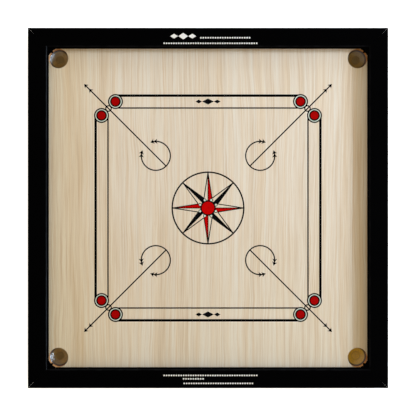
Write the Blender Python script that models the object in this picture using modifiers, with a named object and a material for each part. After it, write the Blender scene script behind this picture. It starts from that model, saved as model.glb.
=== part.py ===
"""A full-size carrom board, built as it comes apart on a bench.

A square plywood sheet lies in a rebate under four mitred rails. Edge battens hold it there, a lattice of
battens stiffens it, and a leather bag hangs in a ring under each corner hole. The playing lines are a film of
ink.

Units are metres and +Z is up. The origin is on the floor under the middle of the board. X runs to the
right of a player who sits at the front, and Y runs away from that player.
"""

import math

import bmesh
import bpy
from mathutils import Matrix

MM = 0.001
GAP = 0.3 * MM
WELD_DISTANCE = 0.001 * MM

# Driving dimensions
FIELD = 740 * MM
RAIL_WIDTH = 44.5 * MM
FRAME_HEIGHT = 76 * MM
RIM_RISE = 22 * MM
SHEET_THICKNESS = 16 * MM
REBATE = 14 * MM
POCKET_RADIUS = 22.5 * MM

# Places that follow from them
HALF_FIELD = FIELD / 2
SHEET_TOP = FRAME_HEIGHT - RIM_RISE
SHEET_BOTTOM = SHEET_TOP - SHEET_THICKNESS
HALF_SHEET = HALF_FIELD + REBATE - GAP
POCKET_OFFSET = HALF_FIELD - POCKET_RADIUS

# Frame rails
RAIL_LIP_RADIUS = 4 * MM
RAIL_CHAMFER = 1 * MM
LIP_STEPS = 4
RAIL_END_SEAM = GAP / math.sqrt(2)

# Loose tongues across the mitres
SPLINE_LENGTH = 22 * MM
SPLINE_WIDTH = 16 * MM
SPLINE_THICKNESS = 4 * MM
SPLINE_HEIGHT = 22 * MM
SPLINE_INSET = HALF_FIELD + (REBATE + RAIL_WIDTH) / 2 - POCKET_OFFSET

# Corner blocks, whose nose is the point left where the two rounded corners meet
BLOCK_DROP = 1.5 * MM
BLOCK_TOP = FRAME_HEIGHT - RAIL_LIP_RADIUS - BLOCK_DROP
BLOCK_START_DEG = 20
NOSE_HALF_DEG = 9
NOSE_LENGTH = 5 * MM
BLOCK_STEPS = 4

# Battens under the sheet
BATTEN_TOP = SHEET_BOTTOM - GAP
EDGE_BATTEN_WIDTH = 26 * MM
EDGE_BATTEN_HEIGHT = 34 * MM
EDGE_BATTEN_HALF_LENGTH = 300 * MM
LATTICE_WIDTH = 32 * MM
LATTICE_HEIGHT = 30 * MM
LATTICE_PITCH = 180 * MM
BATTEN_CHAMFER = 1 * MM
CHAMFER_FROM_DEG = 40

# Screws
BATTEN_SCREW_SPREAD = 200 * MM
BATTEN_SCREW_RADIUS = 2.0 * MM
BATTEN_SCREW_HEAD_RADIUS = 4.0 * MM
BATTEN_SCREW_HEAD_HEIGHT = 2.4 * MM
BATTEN_SCREW_SUNK = 0.5 * MM
BATTEN_SCREW_BITE = 10 * MM
RING_SCREW_RADIUS = 1.5 * MM
RING_SCREW_HEAD_RADIUS = 3.0 * MM
RING_SCREW_FACE_RADIUS = 2.1 * MM
RING_SCREW_HEAD_HEIGHT = 2.2 * MM
RING_SCREW_BITE = 10 * MM
SCREW_POINT = 3 * MM
SCREW_STEPS = 10

# Pocket fittings
RING_INNER_RADIUS = 24.0 * MM
RING_SLEEVE_RADIUS = 25.6 * MM
RING_FLANGE_RADIUS = 33.5 * MM
RING_FLANGE_THICKNESS = 2.2 * MM
RING_SLEEVE_HEIGHT = 5 * MM
RING_SCREW_CIRCLE = 29.6 * MM
BAG_RADIUS = RING_INNER_RADIUS - GAP
BAG_THICKNESS = 1.5 * MM
BAG_DEPTH = 10.5 * MM
BAG_FLOOR_RADIUS = 8.5 * MM
BAG_LIP_DEPTH = 0.8 * MM
POCKET_STEPS = 40
FITTING_STEPS = 24
SMOOTH_UP_TO_DEG = 35

# Ink film. Shapes that are joined differ a little in thickness, so that no two faces coincide.
INK_GAP = 0.1 * MM
INK_THICKNESS = 0.15 * MM
INK_STEP = 0.01 * MM
INK_LAYERS = 6
INK_MIDDLE = SHEET_TOP + INK_GAP + (INK_THICKNESS + INK_LAYERS * INK_STEP) / 2

# Base lines and base circles
BASE_CIRCLE_OUT = 247.5 * MM
BASE_CIRCLE_ALONG = 215.1 * MM
BASE_RING_RADIUS = 15.9 * MM
BASE_RING_WIDTH = 2.7 * MM
BASE_LINE_REACH = 16.6 * MM
THICK_LINE_WIDTH = 5.4 * MM
THIN_LINE_WIDTH = 2.6 * MM
SMALL_RING_OUT = (BASE_CIRCLE_OUT + BASE_CIRCLE_ALONG) / 2
SMALL_RING_RADIUS = 6.3 * MM
SMALL_RING_WIDTH = 2.2 * MM
LINE_END_STEPS = 4
RING_STEPS = 24
SMALL_RING_STEPS = 14

# Corner arrows, measured from the middle of the board along the diagonal
ARROW_TIP = 408 * MM
ARROW_WIDTH = 2.6 * MM
ARROW_HEADS_APART = 15.6 * MM
HEAD_LENGTH = 9.4 * MM
HEAD_WIDTH = 11 * MM
HEAD_NOTCH = 6.6 * MM
ARC_CENTRE = 171.5 * MM
ARC_RADIUS = 33.7 * MM
ARC_START_DEG = 28
ARC_TIPS_DEG = (22, 35)
ARC_HEAD_LEAN_DEG = 6
ARC_STEPS = 16

# Star
STAR_RAYS = 8
STAR_RADIUS = 83.2 * MM
STAR_RING_WIDTH = 2.3 * MM
STAR_CORNER_RADIUS = 24.5 * MM
STAR_LINE_WIDTH = 1.3 * MM
STAR_TIP_STEP = 0.3 * MM
STAR_ROOT_RADIUS = 17.0 * MM
STAR_ROOT_DEG = 14
CENTRE_RED_RADIUS = 14.8 * MM
CENTRE_RING_RADIUS = 15.9 * MM
CENTRE_RING_WIDTH = 1.4 * MM
STAR_STEPS = 48

# Turn about Z that brings the front side, or the back right corner, to each of the others
SIDES = {"front": 0, "right": 90, "back": 180, "left": 270}
CORNERS = {"back_right": 0, "back_left": 90, "front_left": 180, "front_right": 270}
LATTICE_NAMES = {"near": -1, "middle": 0, "far": 1}

# Colour, roughness, metallic
FINISHES = {
    "black_lacquer": ((0.010, 0.010, 0.012), 0.30, 0.0),
    "playing_ply": ((0.72, 0.60, 0.46), 0.28, 0.0),
    "batten_wood": ((0.58, 0.40, 0.22), 0.65, 0.0),
    "spline_wood": ((0.66, 0.46, 0.27), 0.60, 0.0),
    "zinc_steel": ((0.62, 0.60, 0.55), 0.35, 1.0),
    "white_nylon": ((0.78, 0.80, 0.78), 0.45, 0.0),
    "bag_leather": ((0.50, 0.33, 0.10), 0.45, 0.0),
    "black_ink": ((0.006, 0.006, 0.007), 0.35, 0.0),
    "red_ink": ((0.50, 0.004, 0.006), 0.35, 0.0),
}


# Outlines


def polar(radius, degrees):
    angle = math.radians(degrees)
    return (radius * math.cos(angle), radius * math.sin(angle))


def shifted(outline, dx, dy=0.0):
    return [(x + dx, y + dy) for x, y in outline]


def turned_outline(outline, degrees):
    """The outline turned about the middle of the board."""
    cos, sin = polar(1, degrees)
    return [(x * cos - y * sin, x * sin + y * cos) for x, y in outline]


def arc(radius, start, end, steps):
    """Points along an arc about the origin, both ends included, in degrees."""
    return [polar(radius, start + (end - start) * step / steps) for step in range(steps + 1)]


def circle(radius, steps, centre=(0.0, 0.0)):
    return shifted(arc(radius, 0, 360 - 360 / steps, steps - 1), *centre)


def annulus(radius, width, steps, centre=(0.0, 0.0)):
    """The outer and the inner outline of a ring whose line has this width and middle radius."""
    return [circle(radius + side * width / 2, steps, centre) for side in (1, -1)]


def strip(start, end, width):
    """A straight line of ink from one point to another."""
    along = (end[0] - start[0], end[1] - start[1])
    scale = width / 2 / math.hypot(*along)
    across = (-along[1] * scale, along[0] * scale)
    return [
        (start[0] + across[0], start[1] + across[1]),
        (start[0] - across[0], start[1] - across[1]),
        (end[0] - across[0], end[1] - across[1]),
        (end[0] + across[0], end[1] + across[1]),
    ]


def arrowhead(tip, heading):
    """A notched head that points along its heading, in degrees."""
    outline = [(0, 0), (-HEAD_LENGTH, HEAD_WIDTH / 2), (-HEAD_NOTCH, 0), (-HEAD_LENGTH, -HEAD_WIDTH / 2)]
    return shifted(turned_outline(outline, heading), *tip)


def on_sides(outlines):
    """The outlines of one side, repeated on all four."""
    return [turned_outline(outline, turn) for turn in SIDES.values() for outline in outlines]


def on_diagonals(outlines):
    """The outlines of one corner, drawn along +X, repeated on all four diagonals."""
    return [turned_outline(outline, 45 + turn) for turn in SIDES.values() for outline in outlines]


# Meshes


def weld(mesh):
    work = bmesh.new()
    work.from_mesh(mesh)
    bmesh.ops.remove_doubles(work, verts=work.verts, dist=WELD_DISTANCE)
    bmesh.ops.recalc_face_normals(work, faces=work.faces)
    work.to_mesh(mesh)
    work.free()
    return mesh


def evaluated_mesh(source):
    """The mesh that a curve or a modified object makes. The source is removed."""
    graph = bpy.context.evaluated_depsgraph_get()
    mesh = bpy.data.meshes.new_from_object(source.evaluated_get(graph))
    bpy.data.objects.remove(source)
    return mesh


def flat_mesh(name, outlines, thickness):
    """A flat sheet centred on Z = 0. An outline inside another one is a hole in it."""
    curve = bpy.data.curves.new(name, "CURVE")
    curve.dimensions = "2D"
    curve.fill_mode = "BOTH"
    curve.extrude = thickness / 2
    for outline in outlines:
        spline = curve.splines.new("POLY")
        spline.points.add(len(outline) - 1)
        for point, (x, y) in zip(spline.points, outline):
            point.co = (x, y, 0, 1)
        spline.use_cyclic_u = True
    source = bpy.data.objects.new(name, curve)
    bpy.context.scene.collection.objects.link(source)
    return weld(evaluated_mesh(source))


def turned_mesh(name, profile, steps, closed=False):
    """A round piece about Z, from (radius, height) points that run down its outer side."""
    edges = [(index, index + 1) for index in range(len(profile) - 1)]
    if closed:
        edges.append((len(profile) - 1, 0))
    outline = bpy.data.meshes.new(name + "_profile")
    outline.from_pydata([(radius, 0, height) for radius, height in profile], edges, [])
    source = bpy.data.objects.new(name, outline)
    bpy.context.scene.collection.objects.link(source)
    screw = source.modifiers.new("turn", "SCREW")
    screw.steps = steps
    screw.render_steps = steps
    screw.use_merge_vertices = True
    screw.merge_threshold = WELD_DISTANCE
    mesh = weld(evaluated_mesh(source))
    mesh.name = name
    mesh.shade_smooth()
    mesh.set_sharp_from_angle(angle=math.radians(SMOOTH_UP_TO_DEG))
    return mesh


def box_mesh(name, size):
    """A box centred on the origin."""
    work = bmesh.new()
    bmesh.ops.create_cube(work, size=1, matrix=Matrix.Diagonal((*size, 1)))
    mesh = bpy.data.meshes.new(name)
    work.to_mesh(mesh)
    work.free()
    return mesh


# Scene


def clear_scene():
    for item in list(bpy.data.objects):
        bpy.data.objects.remove(item, do_unlink=True)


def new_collection(name):
    collection = bpy.data.collections.new(name)
    bpy.context.scene.collection.children.link(collection)
    return collection


def finish(name):
    """The Principled material of this name, made on first use."""
    found = bpy.data.materials.get(name)
    if found:
        return found
    colour, roughness, metallic = FINISHES[name]
    material = bpy.data.materials.new(name)
    material.use_nodes = True
    shader = material.node_tree.nodes["Principled BSDF"]
    shader.inputs["Base Color"].default_value = (*colour, 1)
    shader.inputs["Roughness"].default_value = roughness
    shader.inputs["Metallic"].default_value = metallic
    material.diffuse_color = (*colour, 1)
    return material


def place(name, data, collection, parent=None, location=(0, 0, 0), turn=0.0):
    """An object turned about Z by this many degrees and placed in its parent's frame."""
    item = bpy.data.objects.new(name, data)
    collection.objects.link(item)
    item.parent = parent
    item.location = location
    item.rotation_euler.z = math.radians(turn)
    return item


def add_piece(name, mesh, material, parent=None, location=(0, 0, 0), turn=0.0):
    piece = place(name, mesh, bpy.data.collections["carrom_board"], parent, location, turn)
    if not mesh.materials:
        mesh.materials.append(finish(material))
    return piece


def add_cutter(name, mesh, parent=None, location=(0, 0, 0), turn=0.0):
    """A shape that only serves a Boolean."""
    cutter = place(name, mesh, bpy.data.collections["cutters"], parent, location, turn)
    cutter.hide_render = True
    cutter.display_type = "WIRE"
    return cutter


def boolean(piece, other, operation="DIFFERENCE"):
    modifier = piece.modifiers.new(other.name, "BOOLEAN")
    modifier.operation = operation
    modifier.solver = "EXACT"
    modifier.object = other


def chamfer(piece, width):
    bevel = piece.modifiers.new("chamfer", "BEVEL")
    bevel.width = width
    bevel.segments = 1
    bevel.limit_method = "ANGLE"
    bevel.angle_limit = math.radians(CHAMFER_FROM_DEG)


def side_empty(side, turn):
    """The middle of one side's playing edge, with -Y pointing out of the board."""
    x, y = polar(HALF_FIELD, turn - 90)
    return place("side_" + side, None, bpy.data.collections["carrom_board"], None, (x, y, 0), turn)


def corner_empty(corner, turn):
    """The middle of one pocket, with +X +Y pointing at the frame's corner."""
    x, y = polar(POCKET_OFFSET * math.sqrt(2), turn + 45)
    return place("corner_" + corner, None, bpy.data.collections["carrom_board"], None, (x, y, 0), turn)


# Frame


def rail_section():
    """Across a rail: distance out from the playing edge, and height."""
    lip = [
        (RAIL_LIP_RADIUS - x, FRAME_HEIGHT - RAIL_LIP_RADIUS + z)
        for x, z in arc(RAIL_LIP_RADIUS, 90, 0, LIP_STEPS)
    ]
    return [
        (REBATE, 0),
        (RAIL_WIDTH - RAIL_CHAMFER, 0),
        (RAIL_WIDTH, RAIL_CHAMFER),
        (RAIL_WIDTH, FRAME_HEIGHT - RAIL_CHAMFER),
        (RAIL_WIDTH - RAIL_CHAMFER, FRAME_HEIGHT),
        *lip,
        (0, SHEET_TOP + GAP),
        (REBATE, SHEET_TOP + GAP),
    ]


def rail_mesh():
    """A length of the section with both ends sheared to 45 degrees, inner edge at Y = 0."""
    mesh = flat_mesh("frame_rail", [rail_section()], FIELD)
    for vertex in mesh.vertices:
        out, height, along = vertex.co
        reach = HALF_FIELD + out - RAIL_END_SEAM
        vertex.co = (-math.copysign(reach, along), -out, height)
    return mesh


def corner_block_outline():
    """Round a pocket, seen from above: the block fills the frame's corner behind it."""
    wall = POCKET_RADIUS - GAP
    lower = arc(POCKET_RADIUS, BLOCK_START_DEG, 45 - NOSE_HALF_DEG, BLOCK_STEPS)
    upper = arc(POCKET_RADIUS, 45 + NOSE_HALF_DEG, 90 - BLOCK_START_DEG, BLOCK_STEPS)
    nose = polar(POCKET_RADIUS - NOSE_LENGTH, 45)
    return [(wall, lower[0][1]), *lower, nose, *upper, (upper[-1][0], wall), (wall, wall)]


def build_rails(sides):
    return {
        side: add_piece("frame_rail_" + side, rail_mesh(), "black_lacquer", empty)
        for side, empty in sides.items()
    }


def build_corner_blocks(corners):
    height = BLOCK_TOP - SHEET_TOP - GAP
    middle = SHEET_TOP + GAP + height / 2
    mesh = flat_mesh("corner_block", [corner_block_outline()], height)
    for corner, empty in corners.items():
        add_piece("corner_block_" + corner, mesh, "black_lacquer", empty, (0, 0, middle))


def build_splines(corners, rails):
    """A tongue in each mitre, and the slot that it lies in."""
    place_of = (SPLINE_INSET, SPLINE_INSET, SPLINE_HEIGHT)
    size = (SPLINE_LENGTH, SPLINE_WIDTH, SPLINE_THICKNESS)
    tongue = box_mesh("mitre_spline", size)
    slot = box_mesh("mitre_slot", [side + 2 * GAP for side in size])
    for corner, empty in corners.items():
        add_piece("mitre_spline_" + corner, tongue, "spline_wood", empty, place_of, 45)
        cutter = add_cutter("mitre_slot_" + corner, slot, empty, place_of, 45)
        for side in corner.split("_"):
            boolean(rails[side], cutter)


# Playing board and battens


def build_sheet():
    """The playing board, with a hole in each corner."""
    edge = [polar(HALF_SHEET * math.sqrt(2), 45 + turn) for turn in SIDES.values()]
    hole = circle(POCKET_RADIUS, POCKET_STEPS, polar(POCKET_OFFSET * math.sqrt(2), 0))
    mesh = flat_mesh("playing_board", [edge, *on_diagonals([hole])], SHEET_THICKNESS)
    return add_piece("playing_board", mesh, "playing_ply", None, (0, 0, SHEET_TOP - SHEET_THICKNESS / 2))


def build_edge_battens(sides):
    size = (2 * EDGE_BATTEN_HALF_LENGTH, EDGE_BATTEN_WIDTH, EDGE_BATTEN_HEIGHT)
    middle = (0, EDGE_BATTEN_WIDTH / 2 - REBATE + GAP, BATTEN_TOP - EDGE_BATTEN_HEIGHT / 2)
    battens = {}
    for side, empty in sides.items():
        batten = add_piece("edge_batten_" + side, box_mesh("edge_batten", size), "batten_wood", empty, middle)
        chamfer(batten, BATTEN_CHAMFER)
        battens[side] = batten
    return battens


def lattice_outline():
    """A lattice batten from its side, with a notch over half its depth at each crossing."""
    end = HALF_SHEET - EDGE_BATTEN_WIDTH - GAP
    notch = LATTICE_WIDTH / 2 + GAP
    floor = -GAP / 2
    outline = [(-end, -LATTICE_HEIGHT / 2), (end, -LATTICE_HEIGHT / 2), (end, LATTICE_HEIGHT / 2)]
    for crossing in (1, 0, -1):
        middle = crossing * LATTICE_PITCH
        outline.append((middle + notch, LATTICE_HEIGHT / 2))
        outline.append((middle + notch, floor))
        outline.append((middle - notch, floor))
        outline.append((middle - notch, LATTICE_HEIGHT / 2))
    outline.append((-end, LATTICE_HEIGHT / 2))
    return outline


def lattice_mesh(notch_up):
    """A batten that lies along X with its notches up, or along Y with its notches down."""
    mesh = flat_mesh("lattice_batten", [lattice_outline()], LATTICE_WIDTH)
    stand = Matrix.Rotation(math.radians(90), 4, "X")
    if not notch_up:
        stand = Matrix.Rotation(math.radians(90), 4, "Z") @ Matrix.Rotation(math.radians(-90), 4, "X")
    mesh.transform(stand)
    return mesh


def build_lattice():
    middle = BATTEN_TOP - LATTICE_HEIGHT / 2
    across = lattice_mesh(notch_up=True)
    along = lattice_mesh(notch_up=False)
    for name, step in LATTICE_NAMES.items():
        shift = step * LATTICE_PITCH
        chamfer(
            add_piece("lattice_batten_across_" + name, across, "batten_wood", None, (0, shift, middle)),
            BATTEN_CHAMFER,
        )
        chamfer(
            add_piece("lattice_batten_along_" + name, along, "batten_wood", None, (shift, 0, middle)),
            BATTEN_CHAMFER,
        )


# Screws, which all point up


def batten_screw_profile(clearance):
    """A countersunk screw from the underside of an edge batten up into the rail."""
    tip = SHEET_TOP + BATTEN_SCREW_BITE + clearance
    face = BATTEN_TOP - EDGE_BATTEN_HEIGHT + BATTEN_SCREW_SUNK
    neck = face + BATTEN_SCREW_HEAD_HEIGHT + clearance
    shank = BATTEN_SCREW_RADIUS + clearance
    head = BATTEN_SCREW_HEAD_RADIUS + clearance
    return tip, face, neck, shank, head


def batten_screw_mesh():
    tip, face, neck, shank, head = batten_screw_profile(0)
    profile = [(0, tip), (shank, tip - SCREW_POINT), (shank, neck), (head, face), (0, face)]
    return turned_mesh("batten_screw", profile, SCREW_STEPS)


def batten_hole_mesh():
    """The screw with clearance all round, run out below the batten."""
    tip, face, neck, shank, head = batten_screw_profile(GAP)
    below = face - 2 * BATTEN_SCREW_SUNK
    profile = [(0, tip), (shank, tip), (shank, neck), (head, face), (head, below), (0, below)]
    return turned_mesh("batten_hole", profile, SCREW_STEPS)


def build_batten_screws(sides, rails, sheet, battens):
    screw = batten_screw_mesh()
    hole = batten_hole_mesh()
    for side, empty in sides.items():
        for end, way in (("a", -1), ("b", 1)):
            spot = (way * BATTEN_SCREW_SPREAD, -REBATE / 2, 0)
            add_piece(f"batten_screw_{side}_{end}", screw, "zinc_steel", empty, spot)
            cutter = add_cutter(f"batten_hole_{side}_{end}", hole, empty, spot)
            for piece in (rails[side], sheet, battens[side]):
                boolean(piece, cutter)


def ring_screw_mesh():
    """A pan-head screw that holds a pocket ring to the sheet."""
    seat = SHEET_BOTTOM - GAP - RING_FLANGE_THICKNESS - GAP
    tip = SHEET_BOTTOM + RING_SCREW_BITE
    head = RING_SCREW_HEAD_RADIUS
    bottom = seat - RING_SCREW_HEAD_HEIGHT
    profile = [
        (0, tip),
        (RING_SCREW_RADIUS, tip - SCREW_POINT),
        (RING_SCREW_RADIUS, seat),
        (head, seat),
        (head, seat - RING_SCREW_HEAD_HEIGHT / 3),
        (RING_SCREW_FACE_RADIUS, bottom),
        (0, bottom),
    ]
    return turned_mesh("ring_screw", profile, SCREW_STEPS)


def ring_hole_mesh():
    radius = RING_SCREW_RADIUS + GAP
    top = SHEET_BOTTOM + RING_SCREW_BITE + GAP
    below = SHEET_BOTTOM - 2 * RING_FLANGE_THICKNESS
    return turned_mesh("ring_hole", [(0, top), (radius, top), (radius, below), (0, below)], SCREW_STEPS)


def build_ring_screws(corners, rings, sheet):
    screw = ring_screw_mesh()
    hole = ring_hole_mesh()
    for corner, empty in corners.items():
        for end, degrees in (("a", -45), ("b", 135)):
            spot = (*polar(RING_SCREW_CIRCLE, degrees), 0)
            add_piece(f"ring_screw_{corner}_{end}", screw, "zinc_steel", empty, spot)
            cutter = add_cutter(f"ring_hole_{corner}_{end}", hole, empty, spot)
            boolean(rings[corner], cutter)
            boolean(sheet, cutter)


# Pocket fittings


def ring_mesh():
    """A flange against the underside of the sheet, with a short sleeve round the bag's mouth."""
    top = SHEET_BOTTOM - GAP
    flange = top - RING_FLANGE_THICKNESS
    bottom = top - RING_SLEEVE_HEIGHT
    profile = [
        (RING_INNER_RADIUS, top),
        (RING_FLANGE_RADIUS, top),
        (RING_FLANGE_RADIUS, flange),
        (RING_SLEEVE_RADIUS, flange),
        (RING_SLEEVE_RADIUS, bottom),
        (RING_INNER_RADIUS, bottom),
    ]
    return turned_mesh("pocket_ring", profile, FITTING_STEPS, closed=True)


def bag_curve(radius, floor_radius, drop):
    """From the bag's mouth down a short upright lip and a sloping wall to the middle of its flat floor."""
    mouth, floor = BATTEN_TOP, BATTEN_TOP - drop
    return [(radius, mouth), (radius, mouth - BAG_LIP_DEPTH), (floor_radius, floor), (0, floor)]


def bag_mesh():
    inner = bag_curve(BAG_RADIUS - BAG_THICKNESS, BAG_FLOOR_RADIUS, BAG_DEPTH - BAG_THICKNESS)
    outer = bag_curve(BAG_RADIUS, BAG_FLOOR_RADIUS, BAG_DEPTH)
    return turned_mesh("pocket_bag", inner[::-1] + outer, FITTING_STEPS)


def build_pockets(corners):
    bag = bag_mesh()
    rings = {}
    for corner, empty in corners.items():
        rings[corner] = add_piece("pocket_ring_" + corner, ring_mesh(), "white_nylon", empty)
        add_piece("pocket_bag_" + corner, bag, "bag_leather", empty)
    return rings


# Printed lines


def base_line(width, inner):
    """A base line along X whose ends are hollowed to meet the rings of the base circles."""
    low, high = BASE_LINE_REACH - width, BASE_LINE_REACH
    if inner:
        low, high = -high, -low
    right = []
    for step in range(LINE_END_STEPS + 1):
        rise = low + (high - low) * step / LINE_END_STEPS
        reach = math.sqrt(max(0.0, BASE_RING_RADIUS**2 - rise**2))
        right.append((BASE_CIRCLE_ALONG - reach, BASE_CIRCLE_OUT + rise))
    return right + [(-x, y) for x, y in reversed(right)]


def arc_heads():
    """Two heads in line at each end of an arc, which point at each other across its opening."""
    heads = []
    for degrees in ARC_TIPS_DEG:
        for way in (1, -1):
            tip = shifted([polar(ARC_RADIUS, way * degrees)], ARC_CENTRE)[0]
            heads.append(arrowhead(tip, way * (degrees + ARC_HEAD_LEAN_DEG - 90)))
    return heads


def arc_band():
    start, end = ARC_START_DEG, 360 - ARC_START_DEG
    outer = arc(ARC_RADIUS + ARROW_WIDTH / 2, start, end, ARC_STEPS)
    inner = arc(ARC_RADIUS - ARROW_WIDTH / 2, start, end, ARC_STEPS)
    return shifted(outer + inner[::-1], ARC_CENTRE)


def line_print_layers():
    """Groups of outlines that don't touch within a group. The groups overlap one another."""
    rings = []
    for way in (-1, 1):
        spot = (way * BASE_CIRCLE_ALONG, BASE_CIRCLE_OUT)
        rings += annulus(BASE_RING_RADIUS, BASE_RING_WIDTH, RING_STEPS, spot)
    small_centre = (SMALL_RING_OUT, SMALL_RING_OUT)
    small_ring = annulus(SMALL_RING_RADIUS, SMALL_RING_WIDTH, SMALL_RING_STEPS, small_centre)
    shaft = strip((ARC_CENTRE - ARC_RADIUS, 0), (ARROW_TIP - HEAD_NOTCH, 0), ARROW_WIDTH)
    heads = [arrowhead((ARROW_TIP - back, 0), 0) for back in (0, ARROW_HEADS_APART)]
    return [
        on_sides(rings),
        on_sides([base_line(THICK_LINE_WIDTH, inner=False), base_line(THIN_LINE_WIDTH, inner=True)]),
        on_sides(small_ring),
        on_diagonals([shaft]),
        on_diagonals([arc_band()]),
        on_diagonals(heads + arc_heads()),
    ]


def star_layers():
    """The star's circle, then its lines, each group of them clear of itself."""
    step = 360 / STAR_RAYS
    axes, left_edges, right_edges, black_halves = [], [], [], []
    for ray in range(STAR_RAYS):
        angle = ray * step
        tip, left_tip, right_tip = [polar(STAR_RADIUS + way * STAR_TIP_STEP, angle) for way in (1, 0, -1)]
        left = polar(STAR_CORNER_RADIUS, angle + step / 2)
        right = polar(STAR_CORNER_RADIUS, angle - step / 2)
        axes.append(strip(polar(CENTRE_RING_RADIUS, angle), tip, STAR_LINE_WIDTH))
        left_edges.append(strip(left, left_tip, STAR_LINE_WIDTH))
        right_edges.append(strip(right, right_tip, STAR_LINE_WIDTH))
        if ray % 2:
            root = [polar(STAR_ROOT_RADIUS, angle - STAR_ROOT_DEG), polar(CENTRE_RING_RADIUS, angle)]
            black_halves.append([left_tip, right, *root])
    return [
        annulus(STAR_RADIUS, STAR_RING_WIDTH, STAR_STEPS),
        annulus(CENTRE_RING_RADIUS, CENTRE_RING_WIDTH, RING_STEPS),
        axes,
        left_edges,
        right_edges,
        black_halves,
    ]


def build_print(name, layers):
    """One film of ink: the first group, with every other group joined to it."""
    meshes = []
    for level, outlines in enumerate(layers):
        meshes.append(flat_mesh(f"{name}_{level}", outlines, INK_THICKNESS + level * INK_STEP))
    spot = (0, 0, INK_MIDDLE)
    film = add_piece(name, meshes[0], "black_ink", None, spot)
    for mesh in meshes[1:]:
        boolean(film, add_cutter(mesh.name, mesh, None, spot), "UNION")


def build_centre_spot():
    mesh = flat_mesh("centre_spot", [circle(CENTRE_RED_RADIUS, RING_STEPS)], INK_THICKNESS)
    add_piece("centre_spot", mesh, "red_ink", None, (0, 0, INK_MIDDLE))


def main():
    clear_scene()
    new_collection("carrom_board")
    new_collection("cutters")
    sides = {side: side_empty(side, turn) for side, turn in SIDES.items()}
    corners = {corner: corner_empty(corner, turn) for corner, turn in CORNERS.items()}
    rails = build_rails(sides)
    build_corner_blocks(corners)
    build_splines(corners, rails)
    sheet = build_sheet()
    battens = build_edge_battens(sides)
    build_lattice()
    build_batten_screws(sides, rails, sheet, battens)
    rings = build_pockets(corners)
    build_ring_screws(corners, rings, sheet)
    build_print("line_print", line_print_layers())
    build_print("star_print", star_layers())
    build_centre_spot()


main()
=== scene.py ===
"""The looks of a full-size carrom board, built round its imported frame.

Fine pieces stand for the plain ones of the frame: the veneered playing board, the lacquered rails and
corner blocks, the pocket rings, the leather bags, the screws and the printed lines. The battens and the
mitre splines keep the frame's shapes. Units are metres, and +Z is up.
"""

import math

import bmesh
import bpy
from mathutils import Matrix, Vector


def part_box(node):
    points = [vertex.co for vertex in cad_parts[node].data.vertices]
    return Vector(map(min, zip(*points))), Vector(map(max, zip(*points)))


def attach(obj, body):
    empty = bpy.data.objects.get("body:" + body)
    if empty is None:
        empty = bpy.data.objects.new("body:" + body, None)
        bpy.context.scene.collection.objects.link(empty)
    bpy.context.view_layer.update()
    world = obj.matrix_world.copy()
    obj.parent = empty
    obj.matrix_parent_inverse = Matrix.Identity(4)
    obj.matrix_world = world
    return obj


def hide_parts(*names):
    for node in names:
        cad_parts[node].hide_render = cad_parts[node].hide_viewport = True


MM = 0.001
WELD_DISTANCE = 0.001 * MM
FINE = 96

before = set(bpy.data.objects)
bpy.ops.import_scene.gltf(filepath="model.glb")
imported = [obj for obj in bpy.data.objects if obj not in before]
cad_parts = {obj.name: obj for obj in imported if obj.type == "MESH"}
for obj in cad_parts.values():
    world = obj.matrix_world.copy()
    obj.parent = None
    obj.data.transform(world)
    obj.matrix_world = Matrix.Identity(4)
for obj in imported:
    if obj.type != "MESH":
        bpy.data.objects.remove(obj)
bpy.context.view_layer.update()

# Measures of the frame
board_low, board_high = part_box("playing_board")
rail_low, rail_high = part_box("frame_rail_front")
block_low, block_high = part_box("corner_block_back_right")
ring_low, ring_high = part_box("pocket_ring_back_right")
bag_low, bag_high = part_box("pocket_bag_back_right")
star_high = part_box("star_print")[1]
spot_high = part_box("centre_spot")[1]

# GAP is the play between fitted pieces
GAP = 0.3 * MM
FRAME_HEIGHT = rail_high.z
HALF_FIELD = -rail_high.y
HALF_FRAME = -rail_low.y
RAIL_WIDTH = HALF_FRAME - HALF_FIELD
SHEET_TOP = board_high.z
SHEET_BOTTOM = board_low.z
HALF_SHEET = board_high.x
REBATE = HALF_SHEET + GAP - HALF_FIELD
POCKET_OFFSET = (ring_low.x + ring_high.x) / 2
POCKET_RADIUS = HALF_FIELD - POCKET_OFFSET
POCKET = Vector((POCKET_OFFSET, POCKET_OFFSET, 0))
BAG_RADIUS = (bag_high.x - bag_low.x) / 2
BAG_DEPTH = bag_high.z - bag_low.z

# Turns about Z that bring the front side, or the back right corner, to each of the others
SIDES = {"front": 0, "right": 90, "back": 180, "left": 270}
CORNERS = {"back_right": 0, "back_left": 90, "front_left": 180, "front_right": 270}

# Edges that hands and men meet
RAIL_LIP_RADIUS = 4 * MM
RAIL_EDGE_RADIUS = 0.8 * MM
RAIL_TOP_DROP = 0.1 * MM
RAIL_END_SEAM = 0.04 * MM
BLOCK_EDGE = 0.7 * MM
HOLE_EDGE = 0.8 * MM
BLOCK_START_DEG = 20
NOSE_HALF_DEG = 9
NOSE_LENGTH = 5 * MM

# Ink lies a little into the lacquer and stands a little above it. The groups of shapes in one film lie a step
# apart. Red and white discs lie under the black print and reach in under its lines, and the star's white dots
# lie over it.
INK_SUNK = 0.02 * MM
INK_RISE = 0.10 * MM
INK_STEP = 0.01 * MM
UNDER_PRINT = 0.075 * MM
OVER_PRINT = 0.02 * MM
RED_TUCK = 0.4 * MM
WHITE_TUCK = 0.2 * MM
DOT_TUCK = 0.1 * MM

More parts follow.
